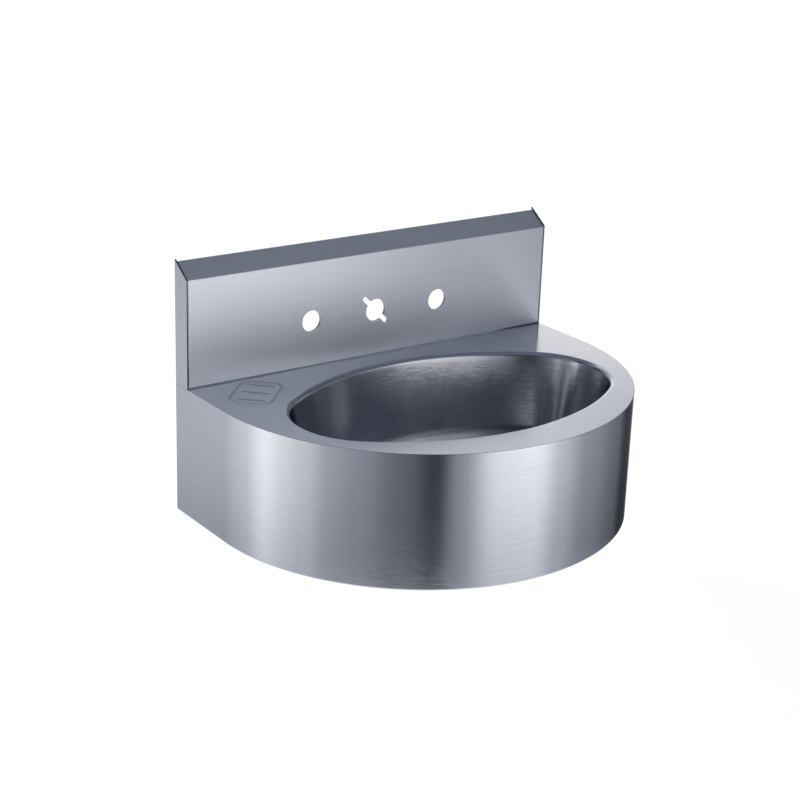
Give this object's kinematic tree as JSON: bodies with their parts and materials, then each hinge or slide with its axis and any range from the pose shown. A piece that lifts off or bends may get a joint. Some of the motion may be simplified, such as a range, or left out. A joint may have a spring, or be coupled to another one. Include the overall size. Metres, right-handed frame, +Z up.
{
  "type": "hand wash sink",
  "caption": "Wall-hung stainless steel hand wash sink: D-shaped deck with a drawn oval bowl, deep apron, and hollow upstand with holes for taps and a spout.",
  "frame": {"origin": "on the wall face, on the centreline, at the height of the deck's top surface", "axes": "+X towards the user's right, +Y into the wall, +Z up; the user stands on the -Y side"},
  "size_m": [0.5, 0.357, 0.3289],
  "materials": {
    "sheet_steel": "satin brushed",
    "inner_steel": "mill",
    "zinc_steel": "zinc plated",
    "polished_steel": "polished",
    "seal_rubber": "moulded",
    "damping_pad": "matt, bitumen-filled",
    "nut_brass": "machined"
  },
  "bodies": {
    "root": {"deck": "sheet_steel", "bowl": "sheet_steel", "apron": "sheet_steel", "upstand_panel": "sheet_steel", "end_cap_left": "sheet_steel", "end_cap_right": "sheet_steel", "tap_backing_plate": "inner_steel", "hanging_rail": "inner_steel", "wall_hanger": "zinc_steel", "fixing_bracket_left": "inner_steel", "fixing_bracket_right": "inner_steel", "side_angle_left": "inner_steel", "side_angle_right": "inner_steel", "front_bar": "inner_steel", "sound_pad_left": "damping_pad", "sound_pad_right": "damping_pad", "earth_tag": "inner_steel", "earth_bolt": "zinc_steel", "earth_washers": "zinc_steel", "earth_nut": "zinc_steel", "waste_body": "polished_steel", "waste_grid": "polished_steel", "waste_grid_screw": "polished_steel", "waste_top_seal": "seal_rubber", "waste_bottom_seal": "seal_rubber", "waste_slip_washer": "polished_steel", "waste_backnut": "nut_brass"}
  },
  "joints": []
}
